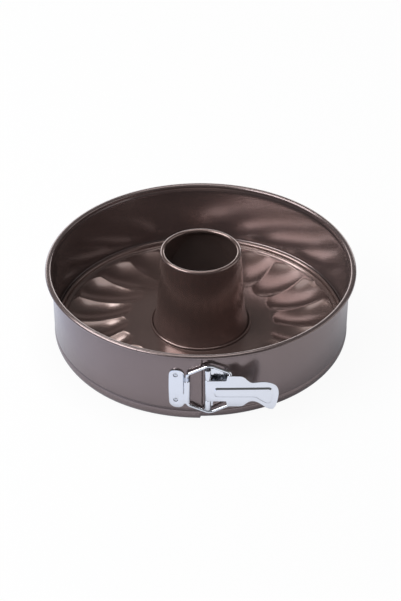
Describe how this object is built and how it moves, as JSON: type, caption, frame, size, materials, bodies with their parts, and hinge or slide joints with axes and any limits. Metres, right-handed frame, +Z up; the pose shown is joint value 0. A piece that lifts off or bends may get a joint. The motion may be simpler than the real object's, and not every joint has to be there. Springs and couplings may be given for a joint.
{
  "type": "springform cake pan",
  "caption": "Springform cake pan: coated hoop with an overlapping front closed by a chromed toggle clasp, around a loose fluted base with a chimney tube",
  "frame": {"origin": "on the pan's axis at table level, under the middle of the band", "axes": "+Z up along the pan's axis, -Y to the front where the clasp is, +X to the right seen from the front"},
  "size_m": [0.2692, 0.2718, 0.0815],
  "materials": {
    "coated_band": "bronze-brown semi-gloss non-stick coating",
    "coated_base": "dark bronze semi-gloss non-stick coating",
    "clasp_chrome": "bright plated pressed steel and wire",
    "rivet_steel": "plain steel rivets and pin"
  },
  "bodies": {
    "band": {"side_band": "coated_band", "catch_plate": "clasp_chrome", "catch_rivet_upper": "rivet_steel", "catch_rivet_lower": "rivet_steel", "hinge_leaf": "clasp_chrome", "leaf_rivet_upper": "rivet_steel", "leaf_rivet_lower": "rivet_steel", "hinge_pin": "rivet_steel"},
    "base": {"base_plate": "coated_base", "centre_tube": "coated_base"},
    "lever": {"lever": "clasp_chrome"},
    "bail": {"bail": "clasp_chrome"}
  },
  "joints": [
    {"name": "base_lift", "type": "slide", "parent": "band", "child": "base", "axis": [0, 0, 1], "range_m": [0, 0.08]},
    {"name": "lever_swing", "type": "hinge", "parent": "band", "child": "lever", "pos_m": [0.00565, -0.1321, 0.0334], "axis": [0, 0, -1], "range_deg": [0, 85]},
    {"name": "bail_swing", "type": "hinge", "parent": "lever", "child": "bail", "pos_m": [0.024, -0.1313, 0.0334], "axis": [0, 0, -1], "range_deg": [-51, 0]}
  ],
  "couplings": [
    {"joint": "bail_swing", "follows": "lever_swing", "ratio": -0.59}
  ]
}
